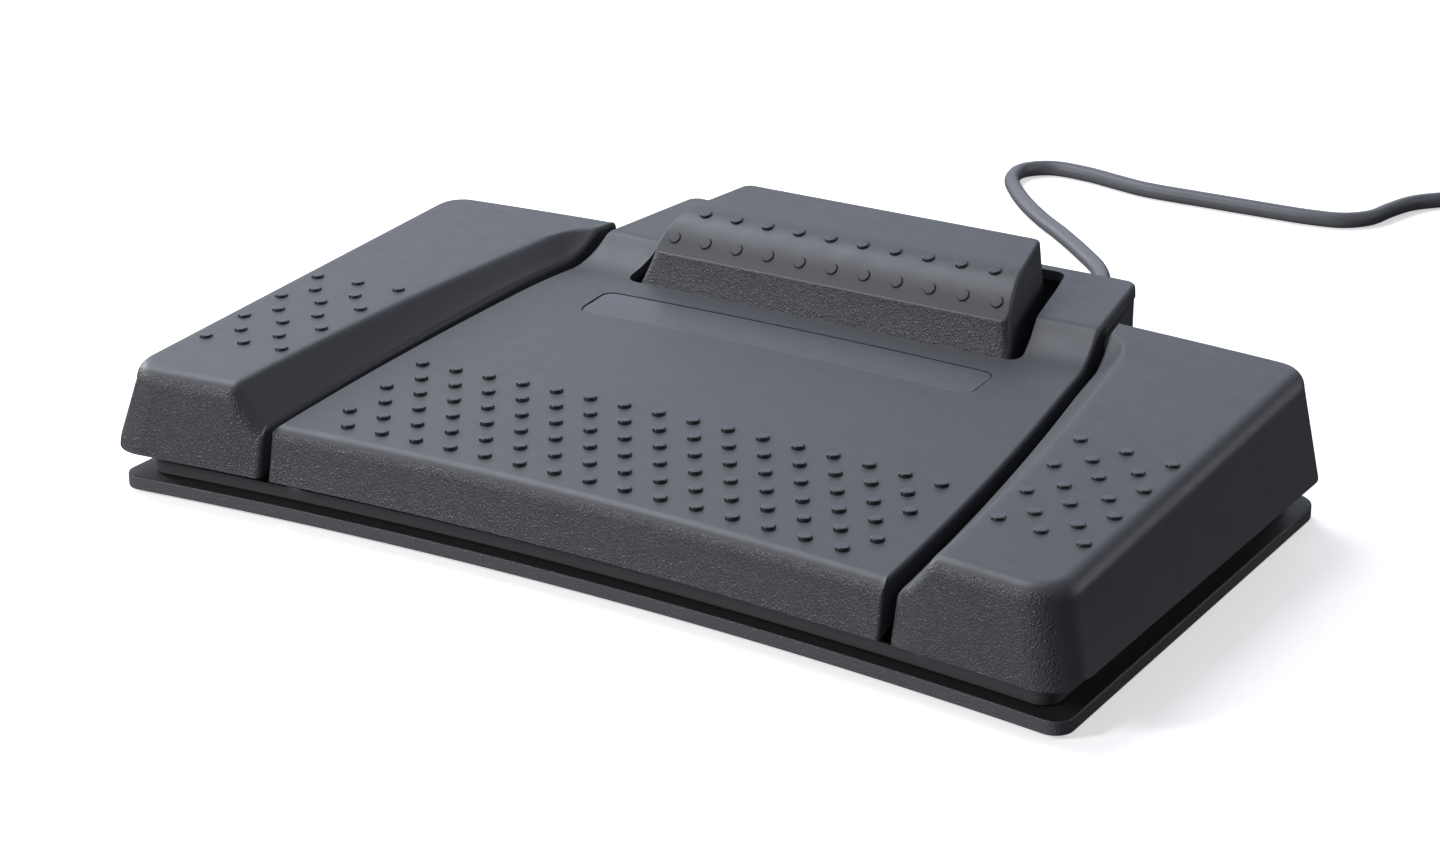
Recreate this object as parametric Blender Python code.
"""Four-pedal foot switch for a dictation machine. X right, Y back, Z up, front at -Y.

Every size is in millimetres and becomes metres in put(), tube() and the cutters.
"""
import math

import bmesh
import bpy
import numpy as np
from mathutils import Vector

MM = 0.001

# Driving dimensions
BASE_W = 228.0            # width of the base plate
HEEL_Y = -998.1           # centre of all the concave front edges
FRONT_R = 923.1           # front edge of the base plate
SKIRT_R = 920.7           # front edge of the pedals, overhanging the plate
BACK_R = 1043.2           # back edge of the side pedals
BACK_Y = 64.0             # back edge of the centre pedal
LIFT = 0.8                # how far the rubber feet raise the plate
PLATE_Z = (0.8, 3.9)
TRAY_Z = (4.2, 7.0)
TRAY_INSET = (3.5, 4.6, 5.4)   # front, sides and back
SKIRT_Z = 10.3            # lower edge of the pedals
RAISED_Z = 12.0           # lower edge of the walls that pass over the tray
GAP = 2.3                 # between the side pedals and the centre pedal
WALL = 2.3
TOP_WALL = 2.2
CAP = 3.0                 # thickness of the rear cap's edge
HOUSING_Y = 35.5          # where the centre pedal's side walls end

# Hinges: pin centres (y, z), pin radius and lug thickness
SIDE_HINGE = (31.0, 18.0)
CENTER_HINGE = (57.0, 18.0)
TOP_HINGE = (52.0, 29.0)
PIN_R = 1.5
HOLE_R = 1.75
LUG_R = 3.2

# Springs, switches and fastenings
WIRE = 1.2
COIL_R = 4.5
SWITCH = (19.8, 6.4, 10.0)
SWITCH_Z = 7.4
PLUNGER_Z = (14.8, 19.5)
SEAT_Z = 34.6             # spring seat under the top pedal
SLACK = 0.3
SCREWS = {"screw_front": (60.0, -60.0), "screw_side": (94.0, 22.0), "screw_rear": (56.2, 43.0)}
FEET = {"foot_front": (98.0, -66.0), "foot_rear": (98.0, 33.0)}

# Cord: exit axis, diameter, the route on the floor, the coil and the plug
CORD_D = 4.2
EXIT = (22.0, 13.0)
ROUTE = [(22, 84.3, 13), (22, 95, 12.2), (21.5, 105, 9), (20, 118, 4.5), (17.5, 130, 2.6),
         (13, 143, 2.2), (6, 156, 2.2), (-4.4, 167, 2.2), (-15.6, 177.5, 2.2), (-25.5, 186, 2.2),
         (-35.6, 196, 2.2), (-44, 206, 2.2), (-49, 214, 2.2), (-50, 222.5, 2.2), (-44, 228.8, 2.2),
         (-33, 228.9, 2.2), (-22, 226.4, 2.2), (-12, 224.6, 2.2), (7, 224.9, 2.2), (26, 225.4, 2.2),
         (35, 226, 2.2), (43, 228, 2.2), (48.5, 234, 2.2), (50.5, 243, 2.2), (54, 253, 2.2),
         (63, 262.5, 2.2), (74.5, 270.5, 2.2), (86.5, 275, 2.2)]
TAIL = [(135.2, 229.4, 10.2), (135.4, 221, 6.2), (135.4, 212, 3.1), (135.4, 203, 2.3),
        (135.4, 196, 3.6), (135.4, 189.5, 6.0), (135.4, 182.1, 7.1)]
COIL_AT = (106.0, 247.0)
COIL_TURNS_R = (16.1, 29.0)
COIL_LAYERS = 4
PITCH = 4.35
PLUG_AT = (135.4, 181.5, 7.1)

DARK = (0.030, 0.031, 0.034)


# ---------------------------------------------------------------- shape of the top

def envelope(y):
    """Height of the pedals' crest along the depth."""
    return LIFT + (32.8 + 0.055 * y if y < 33.3 else 34.63 + 0.04 * (y - 33.3))


def basin(y):
    """Height of the sunk middle field along the depth."""
    return LIFT + 27.5 + 0.087 * y - 0.0024 * max(0.0, y - 5.0) ** 2


def gap_half(y):
    """Half-width of the centre pedal: a shallow curve, then a straight taper."""
    u = y + 76.0
    return 73.8 - 0.015 * u - 0.0007 * u * u if y <= 34.0 else 63.68 - 0.169 * (y - 34.0)


def ridge(y):
    """Distance from the middle to the edge where a side pedal's flat turns down."""
    return gap_half(y) + 9.9 - 0.017 * (y + 76.0)


def raised(x, y, side, low):
    """A low field that ramps up to the rear plateau and, by its own share, to a side."""
    back = max(0.0, min(1.0, 1.0 - (33.3 - y) / 12.5)) ** 1.8
    rise = min(1.0, (side ** 1.35 + back ** 1.35) ** (1 / 1.35))
    return low + (envelope(y) - low) * rise


def height(x, y):
    """Top surface of the centre pedal."""
    return raised(x, y, 0.0, basin(y))


def side_height(x, y):
    """Top surface of a side pedal: its flat, and the ramp down to the gap."""
    side = max(0.0, min(1.0, 1.0 - (ridge(y) - abs(x)) / (ridge(y) - gap_half(y) - 1.7))) ** 1.3
    sunk = 2.0 * max(0.0, min(1.0, (10.0 - y) / 86.0))
    return raised(x, y, side, basin(y) - sunk)


def top_height(x, y):
    """Convex back of the small top pedal."""
    t = max(0.0, min(1.0, (y - 26.2) / 14.0))
    return 36.1 + 7.1 * (1 - (1 - t) ** 2.6) + 0.075 * (y - 26.2)


def skirt_bottom(x, y):
    """Lower edge: deep in front of the tray, raised where a side wall passes over it."""
    t = (math.hypot(x, y - HEEL_Y) - 925.0) / 1.3
    return SKIRT_Z + (RAISED_Z - SKIRT_Z) * max(0.0, min(1.0, t))


def center_bottom(x, y):
    """The centre pedal's walls end at the rear housing, behind which it is a thin cap."""
    t = max(0.0, min(1.0, y - HOUSING_Y))
    return skirt_bottom(x, y) * (1 - t) + (height(x, y) - CAP) * t


# ---------------------------------------------------------------- outlines

def slope(f, t):
    return (f(t + 0.01) - f(t - 0.01)) / 0.02


def shifted(f, d):
    return lambda t: f(t) + d * math.hypot(1.0, slope(f, t))


def arc(radius):
    return lambda x: math.sqrt(radius * radius - x * x) + HEEL_Y


def corner(h, v, sh, sv, r):
    """Circle of radius r touching y=h(x) and x=v(y): its centre and its two touch angles."""
    ho, vo = shifted(h, sh * r), shifted(v, sv * r)
    y = 0.0
    for _ in range(60):
        x = vo(y)
        y = ho(x)
    return (x, y), math.atan2(-sh, sh * slope(h, x)), math.atan2(sv * slope(v, y), -sv)


def arc_points(centre, a0, a1, r, n):
    a1 = a0 + (a1 - a0 + math.pi) % (2 * math.pi) - math.pi
    return [(centre[0] + r * math.cos(a0 + (a1 - a0) * i / n),
             centre[1] + r * math.sin(a0 + (a1 - a0) * i / n)) for i in range(n + 1)]


def fitted(stations, lo, hi):
    """Stations kept in order between two ends."""
    n = len(stations)
    return [min(max(y, lo + 0.3 * (k + 1)), hi - 0.3 * (n - k)) for k, y in enumerate(stations)]


def ring(quad, off, rad, n_arc, value=(0, 0, 0, 0)):
    """Closed outline from the middle of the front left corner, anticlockwise.

    quad has the curves front, right, back, left, the shares along front and back, and the
    stations along the sides. off and value are per side, rad per corner. Rows are (x, y, value).
    """
    front, right, back, left, shares, stations = quad
    f, b = shifted(front, off[0]), shifted(back, -off[2])
    r, l = shifted(right, -off[1]), shifted(left, off[3])
    spec = [(f, l, 1, 1, 3, 0), (f, r, 1, -1, 0, 1), (b, r, -1, -1, 1, 2), (b, l, -1, 1, 2, 3)]
    arcs = []
    for k, (h, v, sh, sv, s0, s1) in enumerate(spec):
        c, ah, av = corner(h, v, sh, sv, rad[k])
        a0, a1 = (av, ah) if k in (0, 2) else (ah, av)
        pts = arc_points(c, a0, a1, rad[k], n_arc)
        arcs.append([(x, y, value[s0] + (value[s1] - value[s0]) * i / n_arc)
                     for i, (x, y) in enumerate(pts)])
    x0, x1 = arcs[0][-1][0], arcs[1][0][0]
    x2, x3 = arcs[3][0][0], arcs[2][-1][0]
    out = arcs[0][n_arc // 2:]
    out += [(x, f(x), value[0]) for x in (x0 + (x1 - x0) * t for t in shares)]
    out += arcs[1]
    out += [(r(y), y, value[1]) for y in fitted(stations, arcs[1][-1][1], arcs[2][0][1])]
    out += arcs[2] + [(x, b(x), value[2]) for x in (x2 + (x3 - x2) * t for t in reversed(shares))]
    rest = fitted(stations, arcs[0][0][1], arcs[3][-1][1])
    out += arcs[3] + [(l(y), y, value[3]) for y in reversed(rest)]
    return out + arcs[0][:n_arc // 2]


def sheet(rim, n_u, n_v, hold, z):
    """Grid points inside a rim of 2(n_u + n_v) points; hold columns run beside the left side."""
    rim = [np.array(p[:2]) for p in rim]
    front, right = rim[:n_u + 1], rim[n_u:n_u + n_v + 1]
    back, left = rim[n_u + n_v:2 * n_u + n_v + 1][::-1], (rim[2 * n_u + n_v:] + rim[:1])[::-1]
    rows = []
    for j in range(n_v + 1):
        v = (left[j][1] - left[0][1]) / (left[-1][1] - left[0][1])
        w = (right[j][1] - right[0][1]) / (right[-1][1] - right[0][1])
        row = []
        for i in range(n_u + 1):
            t = (front[i][0] - front[0][0]) / (front[-1][0] - front[0][0])
            a = 1.0 - max(0.0, (t - hold) / (1 - hold))
            u = a * v + (1 - a) * w
            p = (1 - u) * front[i] + u * back[i]
            p = p + a * (left[j] - (1 - v) * front[0] - v * back[0])
            p = p + (1 - a) * (right[j] - (1 - w) * front[-1] - w * back[-1])
            row.append((p[0], p[1], z(p[0], p[1])))
        rows.append(row)
    return rows


def grid_faces(rim_ids, inner_ids, n_u, n_v):
    """Quads of the sheet: rim vertices around, inner vertices row by row."""
    def at(i, j):
        if j == 0:
            return rim_ids[i]
        if i == n_u:
            return rim_ids[n_u + j]
        if j == n_v:
            return rim_ids[2 * n_u + n_v - i]
        if i == 0:
            return rim_ids[(2 * (n_u + n_v) - j) % (2 * (n_u + n_v))]
        return inner_ids[(j - 1) * (n_u - 1) + i - 1]
    return [(at(i, j), at(i + 1, j), at(i + 1, j + 1), at(i, j + 1))
            for j in range(n_v) for i in range(n_u)]


def shell(quad, radii, draft, fillet, top, bottom, hold=0.0, n_arc=4, steps=3, walls=None):
    """Hollow moulding: outer wall, rounded top edge, top, and the same inside at wall distance."""
    wall = walls or (WALL,) * 4
    n_u, n_v = len(quad[4]) + 1 + n_arc, len(quad[5]) + 1 + n_arc
    verts, faces = [], []

    def loop(points, z):
        ids = list(range(len(verts), len(verts) + len(points)))
        verts.extend((p[0], p[1], z(p)) for p in points)
        return ids

    def bridge(a, b):
        n = len(a)
        faces.extend((a[i], a[(i + 1) % n], b[(i + 1) % n], b[i]) for i in range(n))

    def close(points, ids, z):
        rows = sheet(points, n_u, n_v, hold, z)
        inner = list(range(len(verts), len(verts) + (n_u - 1) * (n_v - 1)))
        for row in rows[1:-1]:
            verts.extend(row[1:-1])
        faces.extend(grid_faces(ids, inner, n_u, n_v))

    def corners(shrink):
        return [max(0.4, r - max(shrink[k - 1], shrink[k])) for k, r in enumerate(radii)]

    first = ring(quad, (0,) * 4, radii, n_arc)
    foot = previous = loop(first, lambda p: bottom(p[0], p[1]))
    for k in range(steps + 1):
        a = math.pi / 2 * k / steps
        grow = [f * (1 - math.cos(a)) for f in fillet]
        off = [d + g for d, g in zip(draft, grow)]
        drop = [f * (1 - math.sin(a)) for f in fillet]
        points = ring(quad, off, corners(grow), n_arc, drop)
        ids = loop(points, lambda p: top(p[0], p[1]) - p[2])
        bridge(previous, ids)
        previous = ids
    close(points, ids, top)

    inner = ring(quad, wall, corners(wall), n_arc)
    previous = loop(inner, lambda p: bottom(p[0], p[1]))
    bridge(previous, foot)
    for extra, drop in ((0.0, 1.8), (1.5, 0.0)):
        off = [d + w + extra for d, w in zip(draft, wall)]
        drops = [min(drop, 0.4) if d <= 0.1 else drop for d in draft]
        points = ring(quad, off, corners([w + extra for w in wall]), n_arc, drops)
        ids = loop(points, lambda p: top(p[0], p[1]) - TOP_WALL - p[2])
        bridge(ids, previous)
        previous = ids
    close(points, ids, lambda x, y: top(x, y) - TOP_WALL)
    return verts, faces


# ---------------------------------------------------------------- Blender objects

def material(name, rgb, rough, metal=0.0):
    mat = bpy.data.materials.new(name)
    mat.use_nodes = True
    p = mat.node_tree.nodes["Principled BSDF"]
    p.inputs["Base Color"].default_value = (*rgb, 1.0)
    p.inputs["Roughness"].default_value = rough
    p.inputs["Metallic"].default_value = metal
    return mat


def put(name, verts, faces, look, origin=(0, 0, 0)):
    """Mesh object with its origin at the given point and its faces turned outward."""
    o = Vector(origin)
    mesh = bpy.data.meshes.new(name)
    mesh.from_pydata([(Vector(v) - o) * MM for v in verts], [], faces)
    bm = bmesh.new()
    bm.from_mesh(mesh)
    bmesh.ops.recalc_face_normals(bm, faces=bm.faces)
    bm.to_mesh(mesh)
    bm.free()
    obj = bpy.data.objects.new(name, mesh)
    obj.location = o * MM
    bpy.context.collection.objects.link(obj)
    if look:
        mesh.materials.append(material(name + "_mat", *look))
    return obj


def merged(parts):
    verts, faces = [], []
    for v, f in parts:
        faces += [tuple(i + len(verts) for i in face) for face in f]
        verts += list(v)
    return verts, faces


def box(x0, x1, y0, y1, z0, z1):
    v = [(x, y, z) for z in (z0, z1) for y in (y0, y1) for x in (x0, x1)]
    return v, [(0, 2, 3, 1), (4, 5, 7, 6), (0, 1, 5, 4), (2, 6, 7, 3), (0, 4, 6, 2), (1, 3, 7, 5)]


def prism(outline, z0, z1):
    """Upright prism on an outline; z1 may be a plane given as a function of y."""
    n = len(outline)
    high = z1 if callable(z1) else (lambda y: z1)
    v = [(x, y, z0) for x, y in outline] + [(x, y, high(y)) for x, y in outline]
    f = [tuple(range(n))[::-1], tuple(range(n, 2 * n))]
    return v, f + [(i, (i + 1) % n, n + (i + 1) % n, n + i) for i in range(n)]


def lathe(profile, n, centre=(0, 0, 0), axis="Z"):
    """Solid turned from (radius, height) pairs about an axis through the centre."""
    ids, verts, faces = [], [], []
    for r, h in profile:
        if r == 0:
            ids.append([len(verts)] * n)
            verts.append((0.0, 0.0, h))
            continue
        ids.append(list(range(len(verts), len(verts) + n)))
        verts += [(r * math.cos(2 * math.pi * (i + 0.5) / n),
                   r * math.sin(2 * math.pi * (i + 0.5) / n), h) for i in range(n)]
    for a, b in zip(ids, ids[1:]):
        for i in range(n):
            j = (i + 1) % n
            loop = [a[i], a[j], b[j], b[i]]
            faces.append(tuple(dict.fromkeys(loop)))
    turn = {"X": lambda v: (v[2], v[0], v[1]), "Y": lambda v: (v[1], v[2], v[0]),
            "Z": lambda v: v}[axis]
    verts = [tuple(c + d for c, d in zip(centre, turn(v))) for v in verts]
    return verts, faces


def rod(r, lo, hi, n, centre, axis):
    """Plain cylinder along an axis, from lo to hi on that axis."""
    return lathe([(0, lo), (r, lo), (r, hi), (0, hi)], n, centre, axis)


def rounded(points, radii, n=4):
    """Polygon with its corners replaced by arcs; a radius of 0 keeps the corner."""
    out = []
    for i, p in enumerate(points):
        r = radii[i]
        a, b, c = (Vector(q).to_2d() for q in (points[i - 1], p, points[(i + 1) % len(points)]))
        if r == 0:
            out.append(tuple(b))
            continue
        u, v = (a - b).normalized(), (c - b).normalized()
        half = u.angle(v) / 2
        m = b + (u + v).normalized() * (r / math.sin(half))
        p0, p1 = b + u * (r / math.tan(half)) - m, b + v * (r / math.tan(half)) - m
        a0, a1 = math.atan2(p0.y, p0.x), math.atan2(p1.y, p1.x)
        out += arc_points(m, a0, a1, r, n)
    return out


def tool(target, parts, operation):
    """Join or cut a set of separate solids by a live Boolean; the tool stays hidden."""
    verts, faces = merged(parts)
    cutter = put(target.name + "_" + operation.lower(), verts, faces, None)
    cutter.hide_render = True
    cutter.display_type = "WIRE"
    mod = target.modifiers.new(operation.title(), "BOOLEAN")
    mod.operation, mod.solver, mod.object = operation, "EXACT", cutter


def mirror(part):
    return [(-x, y, z) for x, y, z in part[0]], [f[::-1] for f in part[1]]


def sides(value):
    """(suffix, sign) pairs of a left and a right copy."""
    return [(value + "_left", -1), (value + "_right", 1)]


def flip(part, sign):
    return mirror(part) if sign < 0 else part


# ---------------------------------------------------------------- fixed parts

def plate_outline(front_r, half, back_y, ext_half, ext_back, radii):
    """Base outline: concave front, straight sides, stepped back for the rear housing."""
    front = arc(front_r)
    xs = [half * (t / 9.0) for t in range(-9, 10)]
    start = [(x, front(x)) for x in xs]
    right = [(half - 1.2, back_y), (ext_half(back_y), back_y), (ext_half(ext_back), ext_back)]
    left = [(-x, y) for x, y in right[::-1]]
    r0, r1, r2, r3 = radii
    corner_r = [r0] + [0] * (len(start) - 2) + [r0]
    return rounded(start + right + left, corner_r + [r1, r2, r3, r3, r2, r1])


def base_plate():
    outline = plate_outline(FRONT_R, BASE_W / 2, 43.0, lambda y: 64 - (y - 43) * 0.128, 66.5,
                            (4, 6.5, 3, 6))
    plate = put("base_plate", *prism(outline, *PLATE_Z), (DARK, 0.75))
    cuts = []
    for x, y in FEET.values():
        cuts += [rod(7.3, 0, 2.0, 20, (s * x, y, 0), "Z") for s in (-1, 1)]
    cuts.append(rod(7.3, 0, 2.0, 20, (0, 52, 0), "Z"))
    for x, y in SCREWS.values():
        for s in (-1, 1):
            cuts.append(lathe([(0, 0), (3.8, 0), (3.8, 2.7), (1.9, 2.7), (1.9, 5), (0, 5)], 12,
                              (s * x, y, 0)))
    tool(plate, cuts, "DIFFERENCE")


def post(x0, x1, hinge, z0):
    """Hinge post or lug: a thin plate round the pin, standing on z0 or hanging from it."""
    y, z = hinge
    a = [math.pi * i / 8 for i in range(9)]
    up = 1 if z0 < z else -1
    edge = [(y + LUG_R * math.cos(t), z + up * LUG_R * math.sin(t)) for t in a]
    edge += [(y - LUG_R, z0), (y + LUG_R, z0)]
    n = len(edge)
    v = [(x0, *p) for p in edge] + [(x1, *p) for p in edge]
    f = [tuple(range(n)), tuple(range(n, 2 * n))[::-1]]
    return v, f + [(i, (i + 1) % n, n + (i + 1) % n, n + i) for i in range(n)]


def both(part):
    return [part, mirror(part)]


def tray():
    front, side, back = TRAY_INSET
    outline = plate_outline(FRONT_R + front, BASE_W / 2 - side, 43.0 - back,
                            lambda y: gap_half(y) - 0.2, 64.0, (4, 4, 1, 3.5))
    body = put("tray", *prism(outline, *TRAY_Z), (DARK, 0.6))
    adds, base = [], 5.0
    for x, y in (SCREWS["screw_front"], SCREWS["screw_side"]):
        adds += both(rod(4.0, base, 13.0, 12, (x, y, 0), "Z"))
    for x0, x1 in ((86.4, 90.4), (97.6, 101.6)):
        adds += both(post(x0, x1, SIDE_HINGE, base))
    adds += both(post(45.0, 49.6, CENTER_HINGE, base))
    adds += both(post(32.4, 36.2, TOP_HINGE, base))
    adds.append(rod(COIL_R, base, 20.0, 14, (-28, 36, 0), "Z"))
    tool(body, adds, "UNION")
    cuts = [prism(board_outline(0.4), 5.6, 8.0)]
    for x, y in (SCREWS["screw_front"], SCREWS["screw_side"]):
        cuts += both(rod(1.9, 3, 12.0, 12, (x, y, 0), "Z"))
    cuts += both(rod(1.9, 3, 8.0, 12, (*SCREWS["screw_rear"], 0), "Z"))
    for (y, z), x0, x1 in ((SIDE_HINGE, 84, 104), (CENTER_HINGE, 43, 51), (TOP_HINGE, 31, 37.5)):
        cuts += both(rod(HOLE_R, x0, x1, 12, (0, y, z), "X"))
    tool(body, cuts, "DIFFERENCE")


def housing_outline(off, front_y):
    """One half of the rear housing's wall line at an inward offset, front to back."""
    x = (lambda y: gap_half(y) - 0.1 - off)
    back = 63.5 - off
    return [(x(front_y), front_y), (x(back), back)], max(0.8, 3.5 - off)


def rear_housing():
    (a, b), r_out = housing_outline(0.0, 37.3)
    (c, d), r_in = housing_outline(2.2, 37.3)
    outer = [a, b, (-b[0], b[1]), (-a[0], a[1])]
    inner = [(-c[0], c[1]), (-d[0], d[1]), d, c]
    line = rounded(outer + inner, [1.0, r_out, r_out, 1.0, 1.0, r_in, r_in, 1.0])

    def rim(y):
        return envelope(max(y, 33.3)) - CAP - 0.35 - 0.035 * (57.0 - y)
    wall = put("rear_housing", *prism(line, 7.3, rim), (DARK, 0.55))
    x, y = SCREWS["screw_rear"]
    tool(wall, both(rod(4.0, 7.3, 20, 12, (x, y, 0), "Z")), "UNION")
    cuts = both(rod(1.9, 5, 17, 12, (x, y, 0), "Z"))
    cuts.append(rod(3.4, 58, 68, 16, (EXIT[0], 0, EXIT[1]), "Y"))
    tool(wall, cuts, "DIFFERENCE")


def feet():
    profile = [(0, 0), (6.4, 0), (7.0, 0.6), (7.0, 1.9), (0, 1.9)]
    for name, (x, y) in FEET.items():
        for label, s in sides(name):
            put(label, *lathe(profile, 20, (s * x, y, 0)), ((0.02, 0.02, 0.02), 0.9))
    put("foot_middle", *lathe(profile, 20, (0, 52, 0)), ((0.02, 0.02, 0.02), 0.9))


def screws():
    """Pan-head screws that come up through the plate, with a conical drive recess."""
    for name, (x, y) in SCREWS.items():
        end = 15.5 if name == "screw_rear" else 11.4
        head = [(0, 1.9), (1.1, 1.2), (2.4, 1.0), (3.2, 1.5), (3.2, 2.4), (1.5, 2.4)]
        profile = head + [(1.5, end - 1), (0.7, end), (0, end)]
        for label, s in sides(name):
            put(label, *lathe(profile, 10, (s * x, y, 0)), ((0.55, 0.55, 0.56), 0.35, 1.0))


def axles():
    steel = ((0.6, 0.6, 0.61), 0.3, 1.0)
    y, z = SIDE_HINGE
    for label, s in sides("axle"):
        put(label, *flip(rod(PIN_R, 81, 107, 10, (0, y, z), "X"), s), steel, (0, y, z))
    put("axle_center", *rod(PIN_R, -54.5, 54.5, 10, (0, *CENTER_HINGE), "X"), steel)
    put("axle_top", *rod(PIN_R, -37, 37, 10, (0, *TOP_HINGE), "X"), steel)


# ---------------------------------------------------------------- pedals

def shares(n):
    return [i / n for i in range(1, n)]


def side_quad():
    inner = (lambda y: gap_half(y) + GAP)
    outer = (lambda y: 116.3 - 0.005 * (y + 76.0))
    along = [-75.2, -73.7, -60, -44, -28, -12, 4, 17, 24, 28.5, 33.3]
    across = [0.055, 0.11, 0.165] + [0.165 + 0.835 * i / 5 for i in range(1, 5)]
    return arc(SKIRT_R), outer, arc(BACK_R), inner, across, along


def side_pedals():
    part = shell(side_quad(), (1.6, 8.5, 8.0, 1.6), (1.9, 3.9, 1.8, 0.1), (3.8, 3.8, 2.8, 1.2),
                 side_height, skirt_bottom, hold=0.2)
    y, z = SIDE_HINGE
    x, sy = 98.0, 0.0
    under = side_height(x, sy) - TOP_WALL + 0.8
    adds = [post(82.0, 86.0, SIDE_HINGE, 33.4), post(102.0, 106.0, SIDE_HINGE, 33.4),
            rod(2.2, PLUNGER_Z[1] + SLACK, under, 10, (x, sy, 0), "Z")]
    cuts = [rod(HOLE_R, 80, 107.5, 12, (0, y, z), "X")]
    for name, sign in (("left_pedal", -1), ("right_pedal", 1)):
        body = put(name, *flip(part, sign), (DARK, 0.5), (0, y, z))
        tool(body, [flip(a, sign) for a in adds], "UNION")
        tool(body, [flip(c, sign) for c in cuts], "DIFFERENCE")


def opening_outline():
    half = [(50.9, 21.0), (48.6, 33.3), (45.0, 50.2), (42.4, 60.5)]
    points = [(-x, y) for x, y in half] + half[::-1]
    return rounded(points, [3, 0, 0, 3, 3, 0, 0, 3], 3)


def center_pedal():
    left, right = (lambda y: -gap_half(y)), gap_half
    along = [-75.2, -73.7, -60, -44, -28, -12, 4, 17.3, 22, 27, 33.3, 35.5, 36.5, 44, 54]
    quad = (arc(SKIRT_R), right, lambda x: BACK_Y, left, shares(12), along)
    part = shell(quad, (1.6, 1.6, 3.2, 3.2), (1.75, 0.1, 0.1, 0.1), (3.4, 1.8, 1.8, 1.8),
                 height, center_bottom)
    y, z = CENTER_HINGE
    body = put("center_pedal", *part, (DARK, 0.5), (0, y, z))
    adds = both(post(50.0, 54.0, CENTER_HINGE, 34.6))
    adds.append(rod(2.2, PLUNGER_Z[1] + SLACK, height(0, 5) - TOP_WALL + 0.8, 10, (0, 5, 0), "Z"))
    tool(body, adds, "UNION")
    tool(body, [prism(opening_outline(), 22, 45)]
         + both(rod(HOLE_R, 49, 55.5, 12, (0, y, z), "X")), "DIFFERENCE")


def top_quad():
    side = (lambda y: 47.7 - 0.25 * (y - 24.6))
    along = [29, 32, 35, 38, 41, 47, 53]
    return lambda x: 22.3, side, lambda x: 60.0, lambda y: -side(y), shares(8), along


def top_pedal():
    def foot(x, y):
        return 23.5 + 4.5 * max(0.0, min(1.0, (25.5 - y) / 2.5))
    part = shell(top_quad(), (2.4, 2.4, 4.2, 4.2), (3.4, 1.6, 2.8, 1.6), (0.5, 0.8, 3.0, 0.8),
                 top_height, foot, n_arc=2)
    y, z = TOP_HINGE
    body = put("top_pedal", *part, (DARK, 0.5), (0, y, z))
    adds = both(post(28.0, 32.0, TOP_HINGE, 43.6))
    under = top_height(0, 32) - TOP_WALL + 0.8
    adds.append(rod(2.2, PLUNGER_Z[1] + SLACK, under, 10, (8, 32, 0), "Z"))
    adds.append(rod(5.4, SEAT_Z, top_height(0, 36) - TOP_WALL + 0.6, 14, (-28, 36, 0), "Z"))
    tool(body, adds, "UNION")
    tool(body, both(rod(HOLE_R, 27, 33, 12, (0, y, z), "X")), "DIFFERENCE")


# ---------------------------------------------------------------- springs and switches

def spring(name, x, y, z0, z1, turns=6):
    """Compression spring of round wire with flat ends, as a swept five-sided tube."""
    n, m, r = turns * 10, 5, WIRE / 2
    verts, faces = [], []
    for i in range(n + 1):
        a = 2 * math.pi * turns * i / n
        t = min(1.0, max(0.0, (i / n * turns - 0.5) / (turns - 1.0)))
        z = z0 + r + (z1 - z0 - 2 * r) * t
        out = Vector((math.cos(a), math.sin(a), 0))
        mid = Vector((x, y, z)) + out * COIL_R * 1.1
        for k in range(m):
            b = 2 * math.pi * k / m
            verts.append(mid + out * r * math.cos(b) + Vector((0, 0, r * math.sin(b))))
    for i in range(n):
        for k in range(m):
            j = (k + 1) % m
            faces.append((i * m + k, i * m + j, (i + 1) * m + j, (i + 1) * m + k))
    faces += [tuple(range(m))[::-1], tuple(n * m + k for k in range(m))]
    put(name, verts, faces, ((0.62, 0.62, 0.63), 0.3, 1.0), (x, y, z0))


def springs():
    for label, s in sides("spring"):
        spring(label, s * 95.0, -35.0, 7.3, side_height(95, -35) - TOP_WALL - 0.4)
    spring("spring_center", 0.0, -30.0, 7.3, height(0, -30) - TOP_WALL - 0.4)
    spring("spring_top", -28.0, 36.0, 20.3, SEAT_Z - 0.3)


def board_outline(grow=0.0):
    g = grow
    half = [(104 + g, -8 - g), (104 + g, 16 + g), (22 + g, 16 + g), (22 + g, 40 + g)]
    return half + [(-x, y) for x, y in half[::-1]]


def circuit_board():
    put("circuit_board", *prism(board_outline(), 5.9, 7.1), ((0.03, 0.16, 0.07), 0.45))
    put("board_connector", *box(14.4, 21.2, 35.0, 39.6, 7.4, 13.2), ((0.8, 0.78, 0.7), 0.5))


def switch_places():
    """Switch body centre and plunger centre of each pedal's switch."""
    return {"left": ((-93.0, 0.0), -98.0), "right": ((93.0, 0.0), 98.0),
            "center": ((-5.0, 5.0), 0.0), "top": ((3.0, 32.0), 8.0)}


def switches():
    l, w, h = SWITCH
    for key, ((x, y), px) in switch_places().items():
        body = put("switch_" + key, *box(x - l / 2, x + l / 2, y - w / 2, y + w / 2, SWITCH_Z,
                                         SWITCH_Z + h), ((0.06, 0.06, 0.065), 0.5))
        hole = box(px - 1.2, px + 1.2, y - 1.8, y + 1.8, 12.4, 20)
        tool(body, [hole], "DIFFERENCE")
        put("plunger_" + key, *box(px - 0.9, px + 0.9, y - 1.5, y + 1.5, *PLUNGER_Z),
            ((0.55, 0.08, 0.06), 0.4), (px, y, PLUNGER_Z[0]))


# ---------------------------------------------------------------- cord

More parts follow.
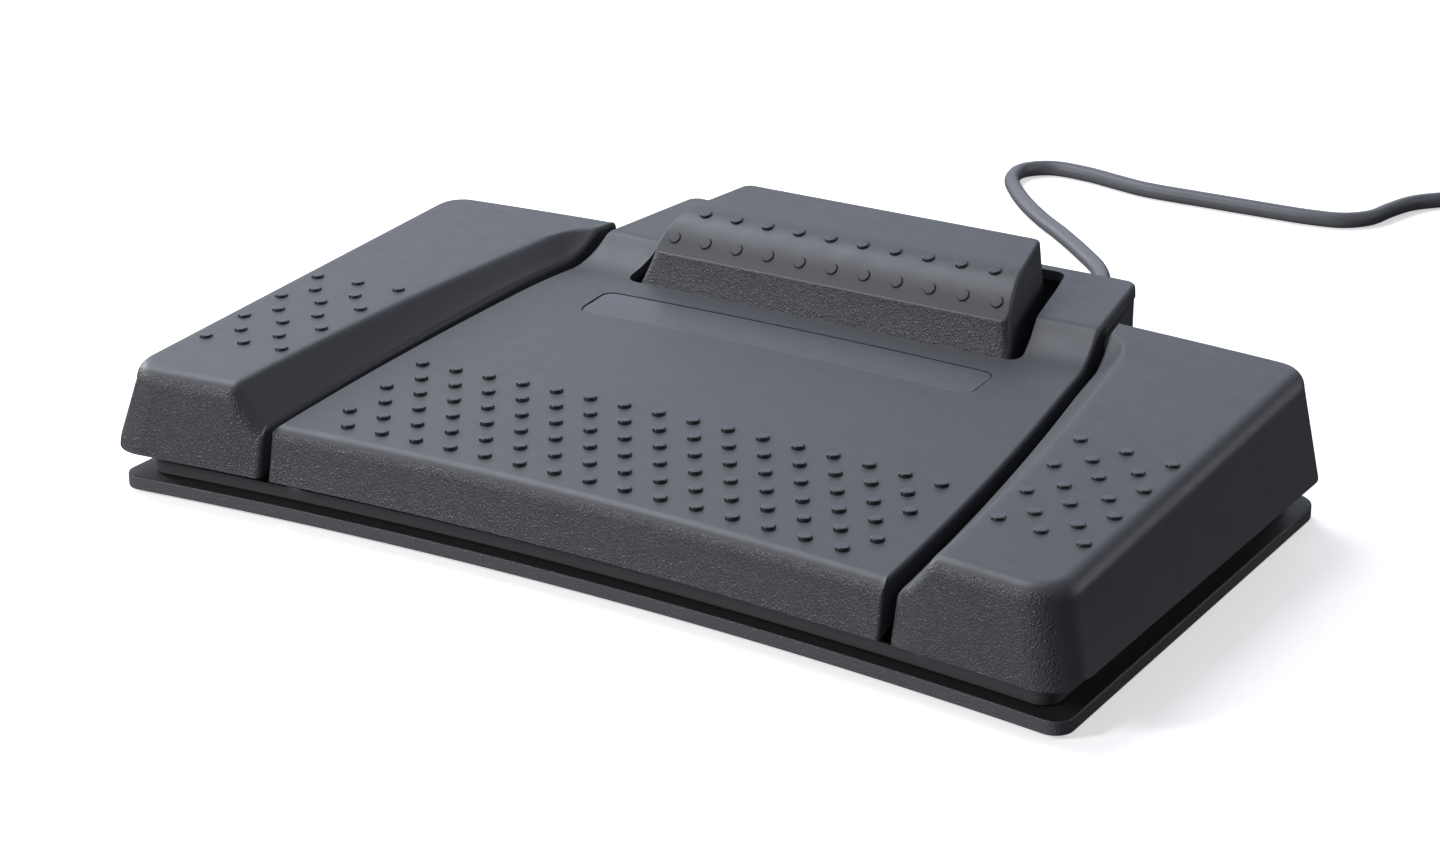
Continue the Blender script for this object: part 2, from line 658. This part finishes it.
def smooth(points, step):
    """Evenly spaced points on a Catmull-Rom curve through the route."""
    p = [np.array(q, float) for q in points]
    p = [2 * p[0] - p[1]] + p + [2 * p[-1] - p[-2]]
    dense = []
    for a, b, c, d in zip(p, p[1:], p[2:], p[3:]):
        for t in np.linspace(0, 1, 24, endpoint=False):
            dense.append(0.5 * (2 * b + (c - a) * t + (2 * a - 5 * b + 4 * c - d) * t * t
                                + (3 * b - a - 3 * c + d) * t ** 3))
    dense.append(p[-2])
    s = np.concatenate([[0], np.cumsum([np.linalg.norm(b - a) for a, b in zip(dense, dense[1:])])])
    at = np.linspace(0, s[-1], max(2, int(round(s[-1] / step))) + 1)
    return np.stack([np.interp(at, s, np.array(dense)[:, k]) for k in range(3)], 1)


def tube(name, points, diameter, look, step):
    curve = bpy.data.curves.new(name, "CURVE")
    curve.dimensions = "3D"
    curve.bevel_depth = diameter / 2 * MM
    curve.bevel_resolution = 2
    curve.use_fill_caps = True
    pts = smooth(points, step)
    spline = curve.splines.new("POLY")
    spline.points.add(len(pts) - 1)
    for sp, q in zip(spline.points, pts):
        sp.co = (*(q * MM), 1.0)
    obj = bpy.data.objects.new(name, curve)
    bpy.context.collection.objects.link(obj)
    curve.materials.append(material(name + "_mat", *look))


def cord():
    grey = ((0.10, 0.105, 0.115), 0.5)
    x, z = EXIT
    relief = [(0, 59.2), (4.4, 59.2), (4.4, 61.0), (3.0, 61.0), (3.0, 63.9), (4.5, 63.9),
              (4.5, 66.0), (2.7, 84.0), (0, 84.0)]
    put("strain_relief", *lathe(relief, 16, (x, 0, z), "Y"), ((0.05, 0.05, 0.055), 0.6))
    inside = [(x, 58.8, z), (22, 53, 12.8), (20.5, 47, 11.6), (18.2, 43, 10.8), (17.8, 40, 10.5)]
    tube("inner_lead", inside, 3.4, grey, 4.0)
    tube("cord", ROUTE, CORD_D, grey, 5.2)
    tube("cord_tail", TAIL, CORD_D, grey, 6.0)


def coil():
    """The stored length of cord: one turned ring of the coil's outer shape."""
    r0, r1 = COIL_TURNS_R[0] - CORD_D / 2 - 0.3, COIL_TURNS_R[1] + CORD_D / 2 + 0.3
    top, c = COIL_LAYERS * PITCH + 0.1, 1.4
    profile = [(r0 + c, 0), (r1 - c, 0), (r1, c), (r1, top - c), (r1 - c, top), (r0 + c, top),
               (r0, top - c), (r0, c), (r0 + c, 0)]
    n, m = 36, len(profile) - 1
    verts = [(COIL_AT[0] + r * math.cos(2 * math.pi * i / n),
              COIL_AT[1] + r * math.sin(2 * math.pi * i / n), z)
             for i in range(n) for r, z in profile[:-1]]
    faces = [(i * m + k, ((i + 1) % n) * m + k, ((i + 1) % n) * m + (k + 1) % m, i * m + (k + 1) % m)
             for i in range(n) for k in range(m)]
    put("cord_coil", verts, faces, ((0.10, 0.105, 0.115), 0.5))


def plug():
    x, y, z = PLUG_AT
    grip = [(0, 0), (2.7, 0), (3.4, -14.0), (6.4, -14.0), (7.0, -15.0), (7.0, -34.0),
            (6.4, -35.0), (0, -35.0)]
    put("plug_body", *lathe(grip, 18, (x, y, z), "Y"), ((0.03, 0.03, 0.032), 0.5))
    shell_ring = [(4.1, -35.3), (4.75, -35.3), (4.75, -43.0), (4.1, -43.0), (4.1, -35.3)]
    n = 18
    verts, faces = [], []
    for i in range(n):
        a = 2 * math.pi * i / n
        verts += [(x + r * math.cos(a), y + h, z + r * math.sin(a)) for r, h in shell_ring[:-1]]
    for i in range(n):
        for k in range(4):
            j, l = (i + 1) % n, (k + 1) % 4
            faces.append((i * 4 + k, i * 4 + l, j * 4 + l, j * 4 + k))
    put("plug_shell", verts, faces, ((0.7, 0.7, 0.7), 0.25, 1.0))
    insert = put("plug_insert", *lathe([(0, -35.3), (3.7, -35.3), (3.7, -37.5), (0, -37.5)], 16,
                                       (x, y, z), "Y"), ((0.02, 0.02, 0.02), 0.5))
    pins = [rod(0.45, y - 41.5, y - 36.5, 6, (x + 2.2 * math.cos(a), 0, z + 2.2 * math.sin(a)), "Y")
            for a in (math.radians(20 + 35 * k) for k in range(-2, 6))]
    tool(insert, pins, "UNION")


def main():
    for obj in list(bpy.data.objects):
        bpy.data.objects.remove(obj, do_unlink=True)
    base_plate()
    tray()
    rear_housing()
    feet()
    screws()
    axles()
    side_pedals()
    center_pedal()
    top_pedal()
    springs()
    circuit_board()
    switches()
    cord()
    coil()
    plug()


main()
